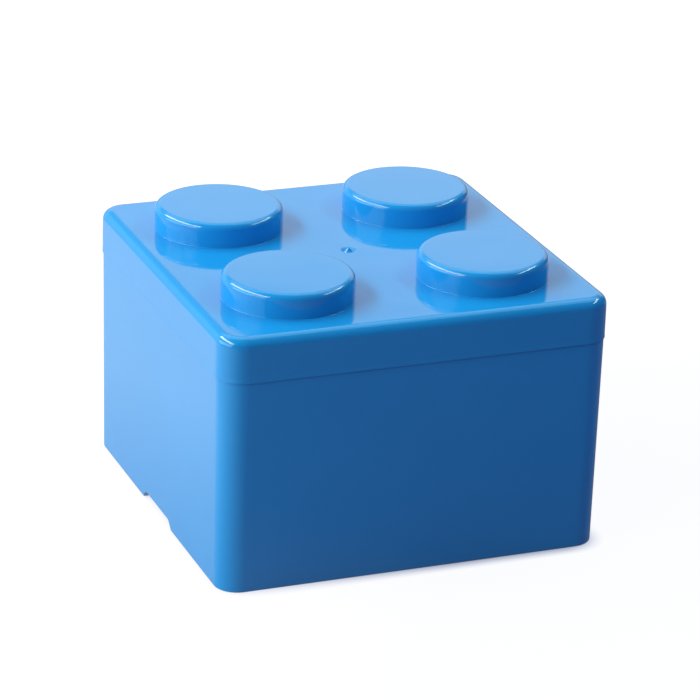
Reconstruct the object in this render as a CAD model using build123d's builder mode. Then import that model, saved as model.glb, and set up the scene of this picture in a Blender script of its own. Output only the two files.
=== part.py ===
"""A stacking storage box in the shape of a two-by-two toy block, with a studded lift-off lid.

Millimetres. The origin is the centre of the base, on the surface that the box stands on. +Z is up,
-Y is the front and +X is the right. The box and the lid are each one thin-walled moulding, with the
draft that lets it leave its mould.
"""

import os
from math import radians, tan

from build123d import *

# Driving dimensions -------------------------------------------------------------------------------

# the block's module
stud_pitch = 50.0          # stud centre to stud centre, in X and in Y
studs_each_way = 2         # studs in X, and as many in Y
block_gap = 1.2            # what the lid is narrower than its studs' pitches, so that blocks fit side by side
draft = 0.44               # lean of every wall that leaves the mould, in degrees

# lid
lid_height = 11.0          # from the lid's bottom edge to its top face
lid_wall = 1.4             # skirt
lid_plate = 1.8            # top plate
lid_corner_radius = 6.4    # vertical corners, at the lid's bottom edge
lid_top_round = 2.5        # edge between the top face and the skirt
lid_inner_round = 1.2      # the same edge inside
lid_edge_round = 0.15      # bottom edge, outside

# studs
stud_radius = 16.0
stud_height = 6.05         # above the lid's top face
stud_wall = 1.6            # side and top of the hollow stud
stud_top_round = 1.6
stud_root_round = 0.15
stud_inner_round = 0.6     # top corner inside the hollow

# box
shoulder_height = 53.5     # from the base to the shoulder that the lid rests on
lid_overhang = 0.25        # what the lid stands out past the box, on each side
shoulder_round = 0.2
base_round = 0.35          # bottom edge, outside
floor_plate = 1.8
floor_round = 1.4          # edge between the floor and the walls, inside

# neck, which stands up inside the lid's skirt
neck_wall = 1.2
neck_clearance = 0.25      # between the neck and the skirt, on each side
neck_headroom = 1.0        # from the neck's top to the underside of the lid's plate
neck_lead_in = 0.4         # chamfer on the neck's top edge, outside

# underside
rim_height = 2.4           # from the base to the underside of the floor
rim_wall = 1.8
notch_width = 17.6         # at the top of the notch
notch_lip = 0.3            # from the top of the notch to the underside of the floor
notch_end_angle = 45.0     # slope of the notch's ends, in degrees
notch_round = 0.6

# cups in the floor, which take the studs of the lid below
cup_clearance = 0.3        # round the stud
cup_headroom = 0.45        # over the stud
cup_wall = 1.8             # side and top
cup_outer_round = 1.2
cup_inner_round = 0.6

# moulding gate, a round dimple with a short stub in the middle of it
gate_radius = 1.9
gate_depth = 0.35
gate_stub_radius = 0.85
gate_stub_rise = 0.2       # how far the stub stands out of its dimple

# Sizes that follow --------------------------------------------------------------------------------

lean = tan(radians(draft))

# lid
lid_width = studs_each_way * stud_pitch - block_gap
lid_top = shoulder_height + lid_height
plate_underside = lid_top - lid_plate
stud_top = lid_top + stud_height
stud_hollow_radius = stud_radius - stud_wall
skirt_inner_width = lid_width - 2 * lid_wall
skirt_inner_radius = lid_corner_radius - lid_wall

# outside of the box, at the shoulder and at the base
box_width = lid_width - 2 * lid_overhang
box_corner_radius = lid_corner_radius - lid_overhang
base_lean = lean * shoulder_height
base_width = box_width - 2 * base_lean
base_corner_radius = box_corner_radius - base_lean

# neck, at the shoulder
neck_width = skirt_inner_width - 2 * neck_clearance
neck_corner_radius = skirt_inner_radius - neck_clearance
neck_top = plate_underside - neck_headroom
neck_rise = neck_top - shoulder_height

# inside of the box, at the shoulder, then at the mouth above it and at the floor below it
inner_width = neck_width - 2 * neck_wall
inner_corner_radius = neck_corner_radius - neck_wall
mouth_lean = lean * neck_rise
mouth_width = inner_width + 2 * mouth_lean
mouth_corner_radius = inner_corner_radius + mouth_lean
floor_top = rim_height + floor_plate
floor_lean = lean * (shoulder_height - floor_top)
floor_width = inner_width - 2 * floor_lean
floor_corner_radius = inner_corner_radius - floor_lean

# underside
rim_inner_width = base_width - 2 * rim_wall
rim_inner_radius = base_corner_radius - rim_wall
notch_height = rim_height - notch_lip
notch_foot_width = notch_width + 2 * notch_height / tan(radians(notch_end_angle))

# cups
cup_radius = stud_radius + cup_clearance
cup_ceiling = stud_height + cup_headroom
cup_top = cup_ceiling + cup_wall


# Box ----------------------------------------------------------------------------------------------

# A cup is a round boss on the floor, hollow from below.
with BuildPart() as cup_boss:
    with BuildSketch(Plane.XY.offset(rim_height)):
        Circle(cup_radius + cup_wall)
    extrude(amount=cup_top - rim_height)
    fillet(cup_boss.edges().group_by(Axis.Z)[-1], cup_outer_round)

with BuildPart() as cup_hollow:
    with BuildSketch(Plane.XY):
        Circle(cup_radius)
    extrude(amount=cup_ceiling)
    fillet(cup_hollow.edges().group_by(Axis.Z)[-1], cup_inner_round)

with BuildPart() as box:
    # outside, from the base up to the shoulder
    with BuildSketch(Plane.XY):
        RectangleRounded(base_width, base_width, base_corner_radius)
    with BuildSketch(Plane.XY.offset(shoulder_height)):
        RectangleRounded(box_width, box_width, box_corner_radius)
    loft(ruled=True)
    fillet(box.edges().group_by(Axis.Z)[-1], shoulder_round)
    fillet(box.edges().group_by(Axis.Z)[0], base_round)

    # neck
    with BuildSketch(Plane.XY.offset(shoulder_height)):
        RectangleRounded(neck_width, neck_width, neck_corner_radius)
    extrude(amount=neck_rise, taper=draft)
    chamfer(box.edges().group_by(Axis.Z)[-1], neck_lead_in)

    # inside, from the floor up to the mouth at the neck's top
    with BuildSketch(Plane.XY.offset(floor_top)):
        RectangleRounded(floor_width, floor_width, floor_corner_radius)
    with BuildSketch(Plane.XY.offset(neck_top)):
        RectangleRounded(mouth_width, mouth_width, mouth_corner_radius)
    loft(ruled=True, mode=Mode.SUBTRACT)
    fillet(box.edges().filter_by_position(Axis.Z, floor_top, floor_top), floor_round)

    # space inside the rim, under the floor
    with BuildSketch(Plane.XY):
        RectangleRounded(rim_inner_width, rim_inner_width, rim_inner_radius)
    extrude(amount=rim_height, taper=draft, mode=Mode.SUBTRACT)

    # cups
    with GridLocations(stud_pitch, stud_pitch, studs_each_way, studs_each_way):
        add(cup_boss.part)
        add(cup_hollow.part, mode=Mode.SUBTRACT)

    # finger notches through the rim, left and right
    with BuildSketch(Plane.YZ) as notch:
        with BuildLine():
            Polyline(
                (-notch_foot_width / 2, 0),
                (-notch_width / 2, notch_height),
                (notch_width / 2, notch_height),
                (notch_foot_width / 2, 0),
                close=True,
            )
        make_face()
        fillet(notch.vertices().group_by(Axis.Y)[-1], notch_round)
    extrude(amount=box_width, both=True, mode=Mode.SUBTRACT)

    # gate mark under the floor
    with BuildSketch(Plane.XY.offset(rim_height)):
        Circle(gate_radius)
        Circle(gate_stub_radius, mode=Mode.SUBTRACT)
    extrude(amount=gate_depth, mode=Mode.SUBTRACT)
    with BuildSketch(Plane.XY.offset(rim_height + gate_depth)):
        Circle(gate_stub_radius)
    extrude(amount=-gate_depth - gate_stub_rise)

box.part.label = "box"


# Lid ----------------------------------------------------------------------------------------------

# The hollow of a stud is open below, through the plate.
with BuildPart() as stud_hollow:
    with BuildSketch(Plane.XY.offset(shoulder_height)):
        Circle(stud_hollow_radius)
    extrude(amount=stud_top - stud_wall - shoulder_height)
    fillet(stud_hollow.edges().group_by(Axis.Z)[-1], stud_inner_round)

with BuildPart() as lid:
    # The outside is drawn at the bottom edge, where it is widest, and leans in on its way up.
    with BuildSketch(Plane.XY.offset(shoulder_height)):
        RectangleRounded(lid_width, lid_width, lid_corner_radius)
    extrude(amount=lid_height, taper=draft)
    fillet(lid.edges().group_by(Axis.Z)[-1], lid_top_round)
    fillet(lid.edges().group_by(Axis.Z)[0], lid_edge_round)

    # inside of the skirt, up to the plate
    with BuildSketch(Plane.XY.offset(shoulder_height)):
        RectangleRounded(skirt_inner_width, skirt_inner_width, skirt_inner_radius)
    extrude(amount=plate_underside - shoulder_height, taper=draft, mode=Mode.SUBTRACT)
    fillet(lid.edges().filter_by_position(Axis.Z, plate_underside, plate_underside), lid_inner_round)

    # studs
    with BuildSketch(Plane.XY.offset(plate_underside)):
        with GridLocations(stud_pitch, stud_pitch, studs_each_way, studs_each_way):
            Circle(stud_radius)
    extrude(amount=stud_top - plate_underside)
    fillet(lid.edges().group_by(Axis.Z)[-1], stud_top_round)
    stud_roots = lid.edges().filter_by_position(Axis.Z, lid_top, lid_top).filter_by(
        lambda edge: edge.geom_type == GeomType.CIRCLE and edge.radius > lid_corner_radius
    )
    fillet(stud_roots, stud_root_round)

    # hollows of the studs
    with GridLocations(stud_pitch, stud_pitch, studs_each_way, studs_each_way):
        add(stud_hollow.part, mode=Mode.SUBTRACT)

    # gate mark in the middle of the top
    with BuildSketch(Plane.XY.offset(lid_top)):
        Circle(gate_radius)
        Circle(gate_stub_radius, mode=Mode.SUBTRACT)
    extrude(amount=-gate_depth, mode=Mode.SUBTRACT)
    with BuildSketch(Plane.XY.offset(lid_top - gate_depth)):
        Circle(gate_stub_radius)
    extrude(amount=gate_depth + gate_stub_rise)

lid.part.label = "lid"


# Files --------------------------------------------------------------------------------------------

os.makedirs("parts", exist_ok=True)
export_step(box.part, "parts/box.step")
export_step(lid.part, "parts/lid.step")
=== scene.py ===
"""A blue stacking storage box in the shape of a two-by-two toy block, seen as in its product photograph.

The box and its studded lid are each one moulding with a skin of its own. Every wall, edge round, stud and
cup is a profile carried along a path or turned about an axis, worked out in millimetres and then set down
in metres.
"""

from math import cos, radians, sin

import bmesh
import bpy
import numpy as np
from mathutils import Matrix, Vector


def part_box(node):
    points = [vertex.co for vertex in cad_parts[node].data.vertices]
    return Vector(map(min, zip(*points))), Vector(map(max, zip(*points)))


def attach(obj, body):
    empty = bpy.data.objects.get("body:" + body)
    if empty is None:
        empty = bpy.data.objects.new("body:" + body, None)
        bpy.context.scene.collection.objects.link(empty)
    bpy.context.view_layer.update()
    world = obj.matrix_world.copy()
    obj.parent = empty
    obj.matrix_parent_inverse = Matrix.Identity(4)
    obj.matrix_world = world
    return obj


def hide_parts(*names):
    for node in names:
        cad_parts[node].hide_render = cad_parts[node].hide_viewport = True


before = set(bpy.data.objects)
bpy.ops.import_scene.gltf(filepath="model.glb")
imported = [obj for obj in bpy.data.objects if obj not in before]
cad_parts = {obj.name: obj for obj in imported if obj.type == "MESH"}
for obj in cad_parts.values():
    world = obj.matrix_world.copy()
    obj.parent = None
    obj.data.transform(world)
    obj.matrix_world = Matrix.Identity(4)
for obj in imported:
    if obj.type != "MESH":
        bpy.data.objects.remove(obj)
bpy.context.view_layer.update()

# Sizes in millimetres -------------------------------------------------------------------------------

MM = 0.001
lid_low, lid_high = (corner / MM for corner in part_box("lid"))
box_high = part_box("box")[1] / MM

# the block's module
stud_place = 25.0            # a stud's centre, out from the middle in X and in Y
corner_place = 43.0          # the centre that all rounds of a vertical corner share, in X and in Y
draft = 0.44                 # lean of the walls that leave the mould, in degrees
lean = np.tan(np.radians(draft))
fine_round = 0.15            # on the edges that the mould leaves all but sharp

# lid
seam_level = lid_low.z
lid_half = lid_high.x        # at the lid's bottom edge, where it is widest
stud_top = lid_high.z
stud_radius = 16.0
stud_height = 6.05
lid_top = stud_top - stud_height
lid_wall = 1.4
lid_plate = 1.8
lid_top_round = 2.5
lid_inner_round = 1.2
lid_edge_round = 0.08
stud_wall = 1.6
stud_top_round = 1.6
stud_root_round = 0.1
stud_inner_round = 0.6

# fine bead that the mould's parting leaves along the lid's bottom edge, with heights above the seam
seam_bead = 0.04             # how far it stands out of the wall
bead_height = 0.3
bead_round = 0.1
bead_waist = 1.3             # where the wall is drawn in the most
waist_round = 2.0
bead_start = 5.0             # where the wall begins to draw in

# box
neck_top = box_high.z
lid_overhang = 0.25          # what the lid stands out past the box
box_half = lid_half - lid_overhang     # at the shoulder
base_half = box_half - lean * seam_level
base_round = 0.35
shoulder_round = 0.12
neck_half = 47.75            # at its root, a little inside the lid's skirt
neck_root_round = 0.2
neck_lead_in = 0.4
lead_in_round = 0.2          # below the lead-in
neck_edge_round = 0.1        # above it
neck_wall = 1.2
mouth_round = 0.3
floor_top = 4.2
floor_round = 1.4
shoulder_ring = 3.0          # how far below the shoulder a ring of points keeps the wall's shading flat

# underside of the box
rim_height = 2.4
rim_wall = 1.8
rim_root_round = 0.3
notch_height = 2.1
notch_half = 8.8             # half the notch's width at its top
notch_round = 0.6
notch_fade = 4.0             # level under the floor's top, below which the outer wall follows the notch
cup_radius = 16.3
cup_ceiling = 6.5
cup_wall = 1.8
cup_outer_round = 1.2
cup_inner_round = 0.6
boss_root_round = 0.2

# gate mark: a round dimple with the broken stub of the gate in it
gate_radius = 1.9
gate_depth = 0.45
gate_round = 0.5             # at the dimple's edge
gate_stub_radius = 1.05
gate_stub_rise = 0.5         # how far the stub's tip stands out of its dimple
gate_tip_radius = 0.3
gate_tip_drop = 0.05         # how far the tip falls off to that radius
gate_tip_round = 0.2
gate_foot_round = 0.12
gate_ring = 0.15             # flat ring round the stub
gate_ring_round = 0.2
gate_edge = gate_radius + 0.4          # radius at which the plate's cells meet the gate mark

# how the skins are divided
side_spokes = 34             # from a stud's centre to each straight stretch of its cell's border
corner_steps = 14            # round a vertical corner
gate_steps = 8               # round a quarter of the gate mark
notch_points = 22            # along a side, where a notch's sloping end crosses the rim
notch_margin = 1.4           # how far these points go on past the slope, at either end
point_gap = 0.12             # least distance from them to the side's other points
spoke_inset = 1.0            # about what the plates' edges lie in from the box's side
cell_shares = (0.06, 0.3, 0.65, 1.0)   # a cell's rings, as shares of the way out to its border
upper_margin = 0.2           # flat strip between an edge round and the cells, on the upper plates
under_margin = 0.3           # and on the undersides
merge_gap = 0.004            # points nearer than this are one
sliver = 0.001               # an edge shorter than this is dissolved


# Profiles -------------------------------------------------------------------------------------------


def rounded(corners, steps):
    """A profile through corners (across, up, round), each turned in steps by an arc tangent to both its legs.

    The arc of radius r at a turn of angle t starts r tan(t/2) before the corner. Its point at share s of
    the turn is start + r (sin(s t) along + (1 - cos(s t)) aside), with along the first leg's direction and
    aside the unit normal on the side that the profile turns to.
    """
    corners = np.array(corners, float)
    points = [corners[:1, :2]]
    for before, here, after in zip(corners, corners[1:], corners[2:]):
        along = (here - before)[:2] / np.linalg.norm((here - before)[:2])
        onward = (after - here)[:2] / np.linalg.norm((after - here)[:2])
        side = np.sign(along[0] * onward[1] - along[1] * onward[0])
        turn = np.arccos(np.clip(along @ onward, -1, 1))
        if here[2] == 0 or turn < 1e-6:
            points.append(here[None, :2])
            continue
        aside = side * np.array((-along[1], along[0]))
        start = here[:2] - here[2] * np.tan(turn / 2) * along
        angle = np.linspace(0, turn, steps + 1)[:, None]
        points.append(start + here[2] * (np.sin(angle) * along + (1 - np.cos(angle)) * aside))
    points.append(corners[-1:, :2])
    return np.concatenate(points)


def drum(radius, end, end_round, foot, foot_round, steps):
    """Profile (radius, level) of a stud, a hollow, a boss or a cup, from the middle of its flat end over the
    end's round edge and down its wall to the round at its foot, where it meets the plate."""
    return rounded(
        (
            (0.0, end, 0.0),
            (radius / 2, end, 0.0),
            (radius, end, end_round),
            (radius, foot, foot_round),
            (radius + 2 * foot_round, foot, 0.0),
        ),
        steps,
    )


def wall_half(half_at_seam, level, side=1):
    """Half width at a level of a wall with draft: the half width at the seam + side * lean * height above it.

    Side 1 is for a wall that leans out on its way up, and side -1 for one that leans in.
    """
    return half_at_seam + side * lean * (level - seam_level)


# Path round the block -------------------------------------------------------------------------------


def side_stations():
    """Distances along one side from its middle to where the corner begins.

    They are stud_place + D tan(angle) for even angles, with D the distance from the stud's centre to about
    the plates' edges, so that the spokes from that centre are evenly spread. Closer ones lie where a
    notch's sloping end crosses the rim.
    """
    across = box_half - spoke_inset - stud_place
    first = -np.arctan(stud_place / across)
    last = np.arctan((corner_place - stud_place) / across)
    even = stud_place + across * np.tan(np.linspace(first, last, side_spokes))
    even[0], even[-1] = 0.0, corner_place
    notch_end = np.linspace(notch_half - notch_margin, notch_half + notch_height + notch_margin, notch_points)
    apart = np.abs(even[:, None] - notch_end[None, :]).min(axis=1) > point_gap
    return np.sort(np.concatenate((even[apart], notch_end)))


def quarter_path():
    """Spine points and outward directions of a quarter of the path, from the middle of +X to that of +Y.

    A ring of half width h is spine + (h - corner_place) * outward: straight sides and true corner arcs.
    """
    station = side_stations()
    straight = np.full_like(station, corner_place)
    angle = np.linspace(0, np.pi / 2, corner_steps + 1)[1:-1]
    spine = np.concatenate(
        (
            np.stack((straight, station), 1),
            np.full((len(angle), 2), corner_place),
            np.stack((station[::-1], straight), 1),
        )
    )
    outward = np.concatenate(
        (
            np.tile((1.0, 0.0), (len(station), 1)),
            np.stack((np.cos(angle), np.sin(angle)), 1),
            np.tile((0.0, 1.0), (len(station), 1)),
        )
    )
    return spine, outward


def turned(points, quarter):
    """The points turned by so many quarter turns about the Z axis."""
    c, s = ((1, 0), (0, 1), (-1, 0), (0, -1))[quarter]
    turn = np.array(((c, s), (-s, c)), float)
    out = np.array(points, float)
    out[..., :2] = out[..., :2] @ turn
    return out


def all_round(points):
    """The points four times, each time turned on by 90 degrees about the Z axis."""
    return [turned(points, quarter) for quarter in range(4)]


def whole_path():
    """The quarter's spine and outward directions, carried on all round the block."""
    spine, outward = quarter_path()
    return np.concatenate(all_round(spine[:-1])), np.concatenate(all_round(outward[:-1]))


def smooth_minimum(a, b, width):
    """The smaller of a and b, blended where they differ by less than the width.

    It is b + (a - b) h - width h (1 - h), with h = 1/2 + (b - a) / (2 width) kept between 0 and 1.
    """
    h = np.clip(0.5 + 0.5 * (b - a) / width, 0, 1)
    return b + (a - b) * h - width * h * (1 - h)


def notch_lift(spine, outward):
    """How far the notches lift the rim's foot at each point of the path.

    That is the notch's height in the middle of the left and right sides, falling at 45 degrees at its
    ends, with its upper corners rounded, and 0 elsewhere.
    """
    ramp = notch_height + notch_half - np.abs(spine[:, 1])
    lift = smooth_minimum(ramp, notch_height, notch_round)
    lift = -smooth_minimum(-lift, 0.0, fine_round)
    left_or_right = np.abs(outward[:, 0]) > 0.999
    return np.where(left_or_right, np.clip(lift, 0, notch_height), 0.0)


def carried(profile, lift=None, fade=None):
    """The profile (half width, level) carried round the path: a grid of rings of points.

    Ring i is spine + (half_i - corner_place) * outward at level_i. With a lift, a level z under fade rises
    to lift + z (fade - lift) / fade, which lets the rim's foot follow the notches, and its half width
    follows the wall's lean.
    """
    spine, outward = whole_path()
    half = np.repeat(profile[:, :1], len(spine), axis=1)
    level = np.repeat(profile[:, 1:], len(spine), axis=1)
    if lift is not None:
        raised = np.where(level < fade, lift + level * (fade - lift) / fade, level)
        half = half + lean * (raised - level)
        level = raised
    across = spine[None] + (half - corner_place)[..., None] * outward[None]
    return np.concatenate((across, level[..., None]), axis=2)


# Cells: the quarter of a plate round one stud or cup ------------------------------------------------


def cell_border(half, gate):
    """The closed border of the cell round the stud at +X +Y, on a plate of that half width.

    It goes along the quarter path, in along the middle line to the gate mark's edge, round that by a
    quarter circle, and out again. With no gate mark the two middle lines meet in the block's centre.
    """
    spine, outward = quarter_path()
    outer = spine + (half - corner_place) * outward
    first = np.arctan((half - stud_place) / stud_place)
    last = -np.arctan((stud_place - gate) / stud_place)
    inward = stud_place * (1 + np.tan(np.linspace(first, last, side_spokes)))
    inward[0], inward[-1] = half, gate
    to_centre = np.stack((np.zeros_like(inward), inward), 1)[1:]
    from_centre = to_centre[::-1, ::-1]
    if gate == 0:
        return np.concatenate((outer, to_centre, from_centre[1:]))
    angle = np.linspace(np.pi / 2, 0, gate_steps + 1)[1:-1]
    arc = gate * np.stack((np.cos(angle), np.sin(angle)), 1)
    return np.concatenate((outer, to_centre, arc, from_centre))


def cell(profile, half, level, gate=0.0):
    """A cell's grid of rings, from the middle of the stud or cup out to the cell's border.

    Each border point has a spoke from the stud's centre. Ring i of the profile (radius, level) lies on the
    circle of that radius, and past the last one the spokes run straight on over the plate to the border:
    circle + share * (border - circle).
    """
    border = cell_border(half, gate)
    centre = np.array((stud_place, stud_place))
    spoke = border - centre
    spoke = spoke / np.linalg.norm(spoke, axis=1)[:, None]
    rounds = centre + profile[:, 0][:, None, None] * spoke[None]
    share = np.array(cell_shares)[:, None, None]
    plate = rounds[-1:] + share * (border[None] - rounds[-1:])
    across = np.concatenate((rounds, plate))
    levels = np.concatenate((profile[:, 1], np.full(len(share), level)))
    up = np.broadcast_to(levels[:, None, None], across.shape[:2] + (1,))
    return np.concatenate((across, up), axis=2)


def gate_disc(level, opens):
    """The gate mark in the block's centre, a grid of rings from the tip of its stub out to the plate.

    It is a profile of radius and depth turned about the Z axis; opens is 1 for upwards and -1 for
    downwards.
    """
    profile = rounded(
        (
            (0.0, -gate_stub_rise, 0.0),
            (gate_tip_radius, gate_tip_drop - gate_stub_rise, gate_tip_round),
            (gate_stub_radius, gate_depth, gate_foot_round),
            (gate_stub_radius + gate_ring, gate_depth, gate_ring_round),
            (gate_radius, 0.0, gate_round),
            (gate_edge, 0.0, 0.0),
        ),
        steps=4,
    )
    angle = np.linspace(0, 2 * np.pi, 4 * gate_steps + 1)[:-1]
    grid = np.empty((len(profile), len(angle), 3))
    grid[..., 0] = profile[:, :1] * np.cos(angle)
    grid[..., 1] = profile[:, :1] * np.sin(angle)
    grid[..., 2] = level - opens * profile[:, 1:]
    return grid


# Skins into meshes ----------------------------------------------------------------------------------


def grid_faces(rings, around):
    """Quads between neighbouring rings of a grid that closes on itself.

    Quad i, j has the points (i, j), (i, j+1), (i+1, j+1) and (i+1, j).
    """
    i = np.arange(rings - 1)[:, None] * around
    j = np.arange(around)[None, :]
    onward = (j + 1) % around
    return np.stack((i + j, i + onward, i + around + onward, i + around + j), axis=2).reshape(-1, 4)


def moulding(name, grids):
    """An object of one closed mesh, from grids of rings in millimetres: their shared borders are merged and
    the faces turned outwards."""
    points, faces, count = [], [], 0
    for grid in grids:
        rings, around = grid.shape[:2]
        points.append(grid.reshape(-1, 3))
        faces.append(grid_faces(rings, around) + count)
        count += rings * around
    points = np.concatenate(points) * MM
    faces = np.concatenate(faces)
    mesh = bpy.data.meshes.new(name)
    mesh.vertices.add(len(points))
    mesh.vertices.foreach_set("co", points.astype(np.float32).ravel())
    mesh.loops.add(faces.size)
    mesh.loops.foreach_set("vertex_index", faces.astype(np.int32).ravel())
    mesh.polygons.add(len(faces))
    mesh.polygons.foreach_set("loop_start", np.arange(0, faces.size, 4, dtype=np.int32))
    mesh.update(calc_edges=True)
    work = bmesh.new()
    work.from_mesh(mesh)
    bmesh.ops.remove_doubles(work, verts=work.verts, dist=merge_gap * MM)
    bmesh.ops.dissolve_degenerate(work, edges=work.edges, dist=sliver * MM)
    bmesh.ops.recalc_face_normals(work, faces=work.faces)
    work.to_mesh(mesh)
    work.free()
    mesh.polygons.foreach_set("use_smooth", np.ones(len(mesh.polygons), bool))
    mesh.update()
    piece = bpy.data.objects.new(name, mesh)
    bpy.context.scene.collection.objects.link(piece)
    weighted = piece.modifiers.new("flat faces stay flat", "WEIGHTED_NORMAL")
    weighted.weight = 80
    return piece


# Lid ------------------------------------------------------------------------------------------------


def lid_skin():
    """The lid's grids: the studded top, the skirt's two sides, and the plate's underside with its hollows."""
    plate_under = lid_top - lid_plate
    hollow_radius = stud_radius - stud_wall
    stud = drum(stud_radius, stud_top, stud_top_round, lid_top, stud_root_round, steps=8)
    hollow = drum(hollow_radius, stud_top - stud_wall, stud_inner_round, plate_under, fine_round, steps=5)
    top_half = wall_half(lid_half, lid_top, -1)
    plate_half = top_half - lid_top_round - upper_margin
    inner_half = lid_half - lid_wall
    inner_top_half = wall_half(inner_half, plate_under, -1)
    under_half = inner_top_half - lid_inner_round - under_margin
    start = seam_level + bead_start
    waist = seam_level + bead_waist
    skirt = rounded(
        (
            (plate_half, lid_top, 0.0),
            (top_half, lid_top, lid_top_round),
            (wall_half(lid_half, start, -1), start, 0.0),
            (wall_half(lid_half - seam_bead, waist, -1), waist, waist_round),
            (lid_half, seam_level + bead_height, bead_round),
            (lid_half, seam_level, lid_edge_round),
            (inner_half, seam_level, fine_round),
            (inner_top_half, plate_under, lid_inner_round),
            (under_half, plate_under, 0.0),
        ),
        steps=10,
    )
    return [
        *all_round(cell(stud, plate_half, lid_top, gate_edge)),
        *all_round(cell(hollow, under_half, plate_under)),
        carried(skirt),
        gate_disc(lid_top, 1),
    ]


# Box ------------------------------------------------------------------------------------------------


def box_skin():
    """The box's grids: outer wall, shoulder, neck and inside, the floor with its cups, and the rim."""
    inner_half = neck_half - neck_wall
    mouth_half = wall_half(inner_half, neck_top)
    floor_half = wall_half(inner_half, floor_top)
    plate_half = floor_half - floor_round - upper_margin
    neck_top_half = wall_half(neck_half, neck_top, -1)
    lead_in_level = neck_top - neck_lead_in
    rim_middle = base_half - rim_wall / 2
    ring_level = seam_level - shoulder_ring
    half_way = seam_level / 2
    shell = rounded(
        (
            (rim_middle, 0.0, 0.0),
            (base_half, 0.0, base_round),
            (wall_half(box_half, notch_fade), notch_fade, 0.0),
            (wall_half(box_half, half_way), half_way, 0.0),
            (wall_half(box_half, ring_level), ring_level, 0.0),
            (box_half, seam_level, shoulder_round),
            (neck_half, seam_level, neck_root_round),
            (wall_half(neck_half, lead_in_level, -1), lead_in_level, lead_in_round),
            (neck_top_half - neck_lead_in, neck_top, neck_edge_round),
            (mouth_half, neck_top, mouth_round),
            (wall_half(inner_half, half_way), half_way, 0.0),
            (floor_half, floor_top, floor_round),
            (plate_half, floor_top, 0.0),
        ),
        steps=6,
    )
    rim_half = base_half - rim_wall
    rim_top_half = rim_half - lean * rim_height
    under_half = rim_top_half - rim_root_round - under_margin
    rim = rounded(
        (
            (under_half, rim_height, 0.0),
            (rim_top_half, rim_height, rim_root_round),
            (rim_half, 0.0, fine_round),
            (rim_middle, 0.0, 0.0),
        ),
        steps=4,
    )
    boss_top = cup_ceiling + cup_wall
    boss = drum(cup_radius + cup_wall, boss_top, cup_outer_round, floor_top, boss_root_round, steps=6)
    cup = drum(cup_radius, cup_ceiling, cup_inner_round, rim_height, fine_round, steps=5)
    lift = notch_lift(*whole_path())
    return [
        *all_round(cell(boss, plate_half, floor_top)),
        *all_round(cell(cup, under_half, rim_height, gate_edge)),
        carried(shell, lift, notch_fade),
        carried(rim, lift, rim_height),
        gate_disc(rim_height, -1),
    ]


# Materials ------------------------------------------------------------------------------------------


class Nodes:
    """The node tree of a new material or world, built up by short calls.

    A value is an output of another node, which is linked, or else a constant.
    """

    def __init__(self, owner):
        owner.use_nodes = True
        self.tree = owner.node_tree
        self.tree.nodes.clear()

    def feed(self, socket, value):
        """Gives an input socket its value."""
        if isinstance(value, bpy.types.NodeSocket):
            self.tree.links.new(value, socket)
        else:
            socket.default_value = value

    def add(self, kind, *values, settings=None, **named):
        """Adds a node and gives back its outputs. The values go to its first inputs in their order, and the
        named ones to the inputs of those names, with _ for a space."""
        node = self.tree.nodes.new(kind)
        for key, value in (settings or {}).items():
            setattr(node, key, value)
        for place, value in enumerate(values):
            self.feed(node.inputs[place], value)
        for key, value in named.items():
            self.feed(node.inputs[key.replace("_", " ")], value)
        return node.outputs

    def math(self, operation, *values):
        """The result of an operation on up to three values."""
        return self.add("ShaderNodeMath", *values, settings={"operation": operation})[0]

    def measure(self, operation, *vectors):
        """The number that an operation on up to two vectors gives."""
        return self.add("ShaderNodeVectorMath", *vectors, settings={"operation": operation})["Value"]

    def ramp(self, value, low, high, to_low=0.0, to_high=1.0, shape="LINEAR"):
        """The value, with its range from low to high stretched to the range from to_low to to_high."""
        return self.add(
            "ShaderNodeMapRange", value, low, high, to_low, to_high, settings={"interpolation_type": shape}
        )[0]

    def noise(self, place, scale, detail):
        """Noise at that scale, with the given number of finer octaves on it."""
        return self.add("ShaderNodeTexNoise", Vector=place, Scale=scale, Detail=detail)[0]

    def blend(self, share, low, high):
        """The colour from low, at share 0, to high, at share 1. A Mix node has its colours at inputs 6 and 7
        and at output 2."""
        node = self.tree.nodes.new("ShaderNodeMix")
        node.data_type = "RGBA"
        for place, value in ((0, share), (6, low), (7, high)):
            self.feed(node.inputs[place], value)
        return node.outputs[2]


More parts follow.
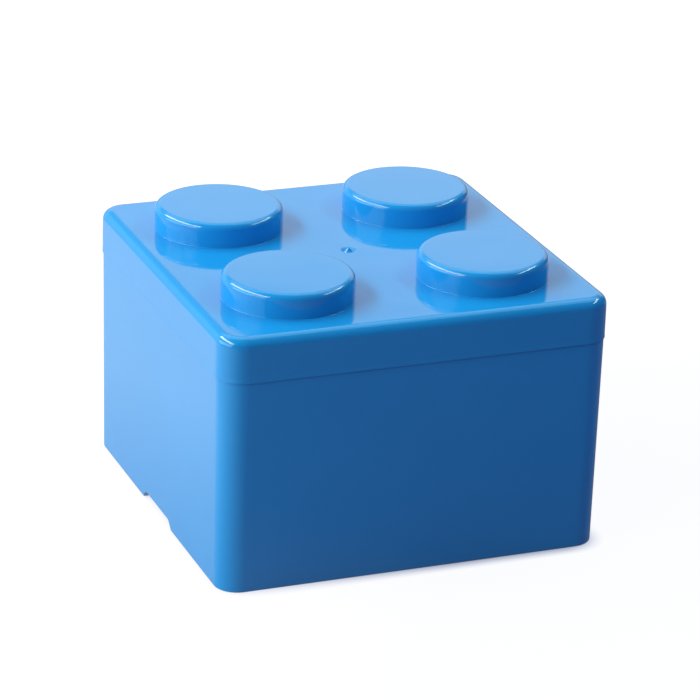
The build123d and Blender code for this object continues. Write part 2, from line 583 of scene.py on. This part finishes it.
def glossy_plastic(name, seed):
    """Glossy moulded plastic in blue: an even pigment with the faintest flow marks, a surface that is flat to
    the eye but for a slow waviness, and fine hairline scuffs. The seed moves the whole pattern."""
    material = bpy.data.materials.new(name)
    n = Nodes(material)
    place = n.add("ShaderNodeTexCoord")["Object"]
    shifted = n.add("ShaderNodeMapping", Vector=place, Location=(seed, seed * 0.7, seed * 1.3))[0]

    # pigment, a few percent lighter and darker over centimetres
    flow = n.noise(shifted, 38.0, 3.0)
    pigment = n.blend(flow, (0.0092, 0.262, 0.675, 1.0), (0.0112, 0.288, 0.735, 1.0))

    # hairline scuffs in sparse patches, all in the direction of a wiping hand, a little rougher than the rest
    wiped = n.add(
        "ShaderNodeMapping", Vector=shifted, Rotation=(0.4, 0.9, 0.3), Scale=(60.0, 1400.0, 900.0)
    )[0]
    hairs = n.ramp(n.noise(wiped, 1.0, 2.0), 0.64, 0.74)
    patches = n.ramp(n.noise(shifted, 55.0, 2.0), 0.50, 0.68)
    scuffs = n.math("MULTIPLY", hairs, patches)
    gloss = n.ramp(n.noise(shifted, 90.0, 4.0), 0.3, 0.7, 0.045, 0.085)
    roughness = n.math("MULTIPLY_ADD", scuffs, 0.12, gloss)

    # slow waviness of a cooled wall, then the skin's own fine grain
    wave = n.noise(shifted, 70.0, 1.0)
    waved = n.add("ShaderNodeBump", Height=wave, Strength=0.10, Distance=0.0006)[0]
    grain = n.noise(shifted, 1800.0, 2.0)
    grained = n.add("ShaderNodeBump", Height=grain, Strength=0.04, Distance=0.00005, Normal=waved)[0]

    plastic = n.add(
        "ShaderNodeBsdfPrincipled", Base_Color=pigment, Roughness=roughness, IOR=1.5, Normal=grained
    )[0]
    n.add("ShaderNodeOutputMaterial", Surface=plastic)
    return material


def studio_floor():
    """A pale table top. Seen by the camera it is the white of the backdrop, with part of its own lit surface
    let through, so that it keeps the object's shadow, and with a painted contact shadow along the box's
    front.
    In reflections it glows with a painted pool of light, brightest at the back and on the left, where the key
    lamp pools, falling off towards the front and the right, and fading with distance. Its own colour is also
    painted paler where the key lamp pools."""
    material = bpy.data.materials.new("pale table")
    n = Nodes(material)
    path = n.add("ShaderNodeLightPath")
    place = n.add("ShaderNodeTexCoord")["Object"]
    split = n.add("ShaderNodeSeparateXYZ", Vector=place)

    # painted pool of light that the table shows in reflections, brightest where the key lamp pools
    left = n.ramp(n.measure("DOT_PRODUCT", place, (-0.8, 0.6, 0.0)), -0.04, 0.11)
    behind = n.ramp(split["Y"], 0.05, 0.15)
    pool = n.math("MAXIMUM", left, behind)
    front = n.ramp(split["X"], -0.02, 0.10, 0.31, 0.20)
    # painted light in reflections: the key lamp's pool, over a weaker glow that falls off to the right
    painted_reflection_glow = n.math("MULTIPLY_ADD", pool, 0.74, front)
    far = n.ramp(n.measure("LENGTH", place), 0.25, 0.65, 1.0, 0.4, shape="SMOOTHSTEP")
    faded = n.math("MULTIPLY", painted_reflection_glow, far)
    reflected = n.math("MULTIPLY", path["Is Glossy Ray"], faded)

    # painted contact shadow, the table's white darkened by occlusion, which deepens along the front from the
    # left and ends at the right
    open_sky = n.add("ShaderNodeAmbientOcclusion", settings={"samples": 12}, Distance=0.004)["AO"]
    deeper = n.ramp(split["X"], -0.055, 0.01, 0.0, 1.2)
    ending = n.ramp(split["X"], 0.040, 0.054, 1.2, 0.2)
    contact = n.math("POWER", open_sky, n.math("MINIMUM", deeper, ending))

    # the white that the camera and reflections see, darker and cooler in the painted contact shadow
    straight = n.math("MAXIMUM", path["Is Camera Ray"], path["Is Transmission Ray"])
    backdrop = n.math("MULTIPLY", contact, 1.35)
    seen = n.math("MULTIPLY_ADD", straight, backdrop, reflected)
    cool = n.blend(contact, (0.70, 0.86, 1.25, 1.0), (1.0, 1.0, 1.0, 1.0))
    tint = n.blend(path["Is Glossy Ray"], cool, (0.93, 0.84, 0.70, 1.0))
    white = n.add("ShaderNodeEmission", Color=tint, Strength=seen)[0]

    # the lit surface, its colour painted paler where the key lamp pools and darker in front and on the right,
    # and how much of it the white leaves to be seen
    pool_painted_colour = n.blend(pool, (0.13, 0.17, 0.30, 1.0), (0.55, 0.56, 0.60, 1.0))
    paint = n.add("ShaderNodeBsdfDiffuse", Color=pool_painted_colour)[0]
    mirrored = n.math("MULTIPLY", path["Is Glossy Ray"], 0.93)
    share = n.math("MULTIPLY_ADD", straight, 0.70, mirrored)
    mix = n.add("ShaderNodeMixShader", share, paint, white)[0]
    n.add("ShaderNodeOutputMaterial", Surface=mix)
    return material


# Pieces ---------------------------------------------------------------------------------------------

lid = moulding("studded_lid", lid_skin())
lid.data.materials.append(glossy_plastic("blue plastic of the lid", 0.31))
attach(lid, "lid")
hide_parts("lid")

box = moulding("box_with_cups", box_skin())
box.data.materials.append(glossy_plastic("blue plastic of the box", 0.77))
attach(box, "box")
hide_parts("box")


# Table, light and camera ----------------------------------------------------------------------------


def table_top(radius=1.6, rings=12, around=64):
    """A flat round table top, in metres: a grid of radius and angle at level 0, merged at its centre."""
    r = np.linspace(0, radius, rings)[:, None]
    angle = np.linspace(0, 2 * np.pi, around + 1)[None, :-1]
    grid = np.stack((r * np.cos(angle), r * np.sin(angle), np.zeros_like(r * angle)), axis=2)
    faces = grid_faces(rings, around)[:, ::-1]
    mesh = bpy.data.meshes.new("table top")
    mesh.from_pydata(grid.reshape(-1, 3).tolist(), [], faces.tolist())
    work = bmesh.new()
    work.from_mesh(mesh)
    bmesh.ops.remove_doubles(work, verts=work.verts, dist=merge_gap * MM)
    work.to_mesh(mesh)
    work.free()
    top = bpy.data.objects.new("table_top", mesh)
    bpy.context.scene.collection.objects.link(top)
    return top


table = table_top()
table.data.materials.append(studio_floor())


def softbox(name, azimuth, elevation, distance, width, height, power, colour):
    """An area lamp that faces the object's middle, with angles in degrees, lengths in metres and power in
    watts. Azimuth 0 is in front and 90 on the right."""
    a, e = radians(azimuth), radians(elevation)
    toward = Vector((sin(a) * cos(e), -cos(a) * cos(e), sin(e)))
    middle = Vector((0, 0, 0.035))
    data = bpy.data.lights.new(name, "AREA")
    data.shape = "RECTANGLE"
    data.size, data.size_y = width, height
    data.energy = power
    data.color = colour
    lamp = bpy.data.objects.new(name, data)
    lamp.location = middle + toward * distance
    lamp.rotation_mode = "QUATERNION"
    lamp.rotation_quaternion = (-toward).to_track_quat("-Z", "Y")
    bpy.context.scene.collection.objects.link(lamp)


softbox("key", -102, 43, 1.2, 1.90, 0.27, 17.7, (1.15, 1.0, 0.86))
softbox("key below", -92, 14, 1.2, 1.50, 0.44, 7.6, (0.84, 1.0, 0.79))
softbox("fill", 84, 45, 1.3, 1.20, 0.15, 4.9, (0.85, 1.0, 0.90))
softbox("overhead", 150, 62, 1.4, 1.90, 1.20, 8.4, (0.80, 1.0, 0.66))


def studio_world():
    """A cool room light, stronger from behind. The camera sees the white backdrop. In reflections the
    backdrop is a screen behind the object: it fades towards its top, near the table on the right and a
    little towards the left, and the room round it is dark."""
    world = bpy.data.worlds.new("studio")
    n = Nodes(world)
    path = n.add("ShaderNodeLightPath")
    toward = n.add("ShaderNodeTexCoord")["Generated"]
    split = n.add("ShaderNodeSeparateXYZ", Vector=toward)

    # the screen in reflections, between its left and right edges
    inside = [
        n.ramp(n.measure("DOT_PRODUCT", toward, edge), -0.1, 0.1, shape="SMOOTHSTEP")
        for edge in ((-0.616, 0.788, 0.0), (0.5, 0.866, 0.0))
    ]
    behind = n.math("MULTIPLY", *inside)
    across = n.ramp(split["X"], -0.4, 0.3, 0.66, 1.10)
    rising = n.ramp(split["Z"], 0.04, 0.26, 0.35, 1.0, shape="SMOOTHSTEP")
    left = n.ramp(split["X"], -0.3, 0.1, 1.0, 0.0)
    foot = n.math("MAXIMUM", rising, left)
    falling = n.ramp(split["Z"], 0.33, 0.45, 1.0, 0.28, shape="SMOOTHSTEP")
    band = n.math("MULTIPLY", foot, falling)
    screen = n.math("MULTIPLY", behind, band)
    mirrored = n.math("MULTIPLY_ADD", screen, across, 0.08)
    reflected = n.math("MULTIPLY", path["Is Glossy Ray"], mirrored)

    # the white that the camera and reflections see
    straight = n.math("MAXIMUM", path["Is Camera Ray"], path["Is Transmission Ray"])
    seen = n.math("ADD", straight, reflected)
    tint = n.blend(path["Is Glossy Ray"], (1.0, 1.0, 1.0, 1.0), (0.93, 0.90, 0.76, 1.0))
    white = n.add("ShaderNodeBackground", Color=tint, Strength=seen)[0]

    # the room, which lights the object
    dim = n.ramp(split["Y"], -1.0, 1.0, 0.07, 0.34)
    room = n.add("ShaderNodeBackground", Color=(1.10, 0.80, 1.55, 1.0), Strength=dim)[0]
    share = n.math("MAXIMUM", straight, path["Is Glossy Ray"])
    mix = n.add("ShaderNodeMixShader", share, room, white)[0]
    n.add("ShaderNodeOutputWorld", Surface=mix)
    bpy.context.scene.world = world


studio_world()


def product_camera():
    """The photograph's viewpoint, from the fit of the block's corners and studs to the picture."""
    azimuth, elevation, roll = radians(-21.794), radians(21.859), radians(1.898)
    target = Vector((1.429, 0.323, 37.706)) * MM
    distance = 865.24 * MM
    picture_width, focal_length = 700.0, 3479.96        # both in pixels of the photograph
    back = Vector((sin(azimuth) * cos(elevation), -cos(azimuth) * cos(elevation), sin(elevation)))
    right = Vector((0, 0, 1)).cross(back).normalized()
    up = back.cross(right)
    across = cos(roll) * right + sin(roll) * up
    upward = cos(roll) * up - sin(roll) * right
    data = bpy.data.cameras.new("product camera")
    data.sensor_fit = "HORIZONTAL"
    data.sensor_width = 36.0
    data.lens = data.sensor_width * focal_length / picture_width
    data.clip_start, data.clip_end = 0.05, 20.0
    camera = bpy.data.objects.new("product camera", data)
    camera.matrix_world = Matrix.Translation(target + back * distance) @ Matrix(
        (
            (across.x, upward.x, back.x, 0),
            (across.y, upward.y, back.y, 0),
            (across.z, upward.z, back.z, 0),
            (0, 0, 0, 1),
        )
    )
    bpy.context.scene.collection.objects.link(camera)
    bpy.context.scene.camera = camera


product_camera()
bpy.context.scene.view_settings.view_transform = "Standard"
